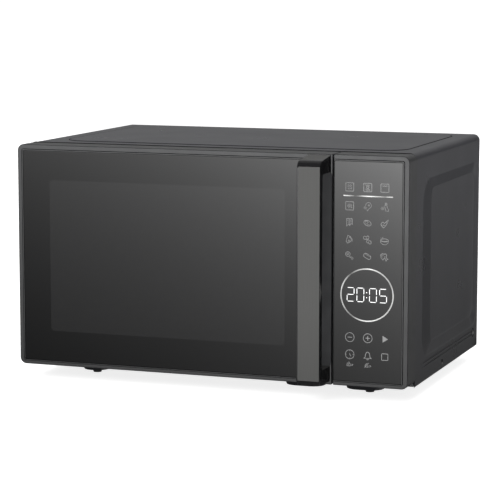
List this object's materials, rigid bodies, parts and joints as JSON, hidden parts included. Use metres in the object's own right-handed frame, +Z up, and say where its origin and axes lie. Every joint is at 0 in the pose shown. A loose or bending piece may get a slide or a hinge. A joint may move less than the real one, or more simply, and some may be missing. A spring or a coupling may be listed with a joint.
{
  "type": "microwave oven",
  "caption": "Countertop microwave oven with grill: side-hinged glass door with a bar handle, touch panel, turntable on rollers, magnetron power parts.",
  "frame": {"origin": "on the worktop, under the middle of the oven's bounding box", "axes": "+X to the user's right, -Y towards the user, +Z up"},
  "size_m": [0.4396, 0.3402, 0.2586],
  "materials": {
    "cabinet_paint": "satin powder coat",
    "galvanised_steel": "galvanised sheet",
    "cavity_enamel": "satin light grey enamel",
    "frame_silver_grey": "satin metallic grey",
    "black_glass": "polished, back-printed black",
    "handle_finish": "satin metallic film with gloss black ends",
    "black_plastic": "satin",
    "white_plastic": "satin",
    "clear_film": "clear, glossy",
    "turntable_glass": "clear, polished",
    "black_rubber": "matte",
    "mica_board": "matte",
    "magnetron_core": "satin",
    "core_laminations": "varnished laminations",
    "varnished_copper": "varnished windings",
    "aluminium_can": "drawn can",
    "circuit_board": "solder mask",
    "heater_sheath": "heat-tinted",
    "lamp_glass": "clear",
    "ceramic_dome": "glazed"
  },
  "bodies": {
    "oven_body": {"cabinet_wrap": "cabinet_paint", "base_plate": "cabinet_paint", "back_plate": "galvanised_steel", "front_plate": "galvanised_steel", "oven_cavity": "cavity_enamel", "waveguide": "galvanised_steel", "waveguide_cover": "mica_board", "magnetron_yoke": "galvanised_steel", "magnetron_anode": "magnetron_core", "magnetron_antenna": "ceramic_dome", "magnetron_filter_box": "galvanised_steel", "thermal_cutout": "black_plastic", "transformer_core": "core_laminations", "transformer_primary_coil": "varnished_copper", "transformer_secondary_coil": "varnished_copper", "capacitor": "aluminium_can", "capacitor_clamp": "galvanised_steel", "diode": "black_plastic", "fan_shroud": "black_plastic", "fan_motor": "core_laminations", "air_duct": "black_plastic", "lamp_holder": "white_plastic", "lamp_bulb": "lamp_glass", "grill_heater": "heater_sheath", "turntable_motor": "galvanised_steel", "filter_board": "circuit_board", "latch_board": "white_plastic", "microswitch_primary": "black_plastic", "microswitch_secondary": "black_plastic", "microswitch_monitor": "black_plastic", "panel_frame": "frame_silver_grey", "panel_glass": "black_glass", "touch_sheet": "clear_film", "display_module": "black_plastic", "control_board": "circuit_board", "foot_1": "black_rubber", "foot_2": "black_rubber", "foot_3": "black_rubber", "foot_4": "black_rubber", "hinge_lower": "galvanised_steel", "hinge_upper": "galvanised_steel", "cord_inlet": "black_plastic"},
    "door": {"door_frame": "frame_silver_grey", "door_glass": "black_glass", "door_inner_plate": "galvanised_steel", "choke_cover": "black_plastic", "door_inner_film": "clear_film", "door_handle": "handle_finish", "latch_spring": "galvanised_steel"},
    "door_latch": {"door_latch": "white_plastic"},
    "turntable": {"turntable_plate": "turntable_glass", "turntable_coupler": "white_plastic"},
    "roller_ring": {"roller_ring": "white_plastic"},
    "roller_wheel_1": {"roller_wheel_1": "white_plastic"},
    "roller_wheel_2": {"roller_wheel_2": "white_plastic"},
    "roller_wheel_3": {"roller_wheel_3": "white_plastic"},
    "fan": {"fan_blade": "white_plastic"},
    "plunger_primary": {"plunger_primary": "white_plastic"},
    "plunger_secondary": {"plunger_secondary": "white_plastic"},
    "plunger_monitor": {"plunger_monitor": "white_plastic"}
  },
  "joints": [
    {"name": "door_hinge", "type": "hinge", "parent": "oven_body", "child": "door", "pos_m": [-0.2135, -0.113, 0.1375], "axis": [0, 0, -1], "range_deg": [0, 105]},
    {"name": "latch_slide", "type": "slide", "parent": "door", "child": "door_latch", "axis": [0, 0, 1], "range_m": [0, 0.004], "stiffness_N_per_m": 150, "springref_m": -0.006, "deforming": ["latch_spring"]},
    {"name": "turntable_spin", "type": "hinge", "parent": "oven_body", "child": "turntable", "pos_m": [-0.048, 0.0276, 0.0546], "axis": [0, 0, 1], "continuous": true},
    {"name": "roller_ring_spin", "type": "hinge", "parent": "oven_body", "child": "roller_ring", "pos_m": [-0.048, 0.0276, 0.0473], "axis": [0, 0, 1], "continuous": true},
    {"name": "roller_wheel_1_spin", "type": "hinge", "parent": "roller_ring", "child": "roller_wheel_1", "pos_m": [-0.048, 0.1226, 0.0473], "axis": [0, 1, 0], "continuous": true},
    {"name": "roller_wheel_2_spin", "type": "hinge", "parent": "roller_ring", "child": "roller_wheel_2", "pos_m": [-0.13027, -0.0199, 0.0473], "axis": [-0.866, -0.5, 0], "continuous": true},
    {"name": "roller_wheel_3_spin", "type": "hinge", "parent": "roller_ring", "child": "roller_wheel_3", "pos_m": [0.03427, -0.0199, 0.0473], "axis": [0.866, -0.5, 0], "continuous": true},
    {"name": "fan_spin", "type": "hinge", "parent": "oven_body", "child": "fan", "pos_m": [0.163, 0.148, 0.19], "axis": [0, 1, 0], "continuous": true},
    {"name": "plunger_primary_press", "type": "slide", "parent": "oven_body", "child": "plunger_primary", "axis": [0, 1, 0], "range_m": [0, 0.0012], "stiffness_N_per_m": 300, "springref_m": -0.001},
    {"name": "plunger_secondary_press", "type": "slide", "parent": "oven_body", "child": "plunger_secondary", "axis": [0, 1, 0], "range_m": [0, 0.0012], "stiffness_N_per_m": 300, "springref_m": -0.001},
    {"name": "plunger_monitor_press", "type": "slide", "parent": "oven_body", "child": "plunger_monitor", "axis": [0, 1, 0], "range_m": [0, 0.0012], "stiffness_N_per_m": 300, "springref_m": -0.001}
  ],
  "couplings": [
    {"joint": "roller_ring_spin", "follows": "turntable_spin", "ratio": 0.5},
    {"joint": "roller_wheel_1_spin", "follows": "turntable_spin", "ratio": -6.7857},
    {"joint": "roller_wheel_2_spin", "follows": "turntable_spin", "ratio": -6.7857},
    {"joint": "roller_wheel_3_spin", "follows": "turntable_spin", "ratio": -6.7857}
  ]
}
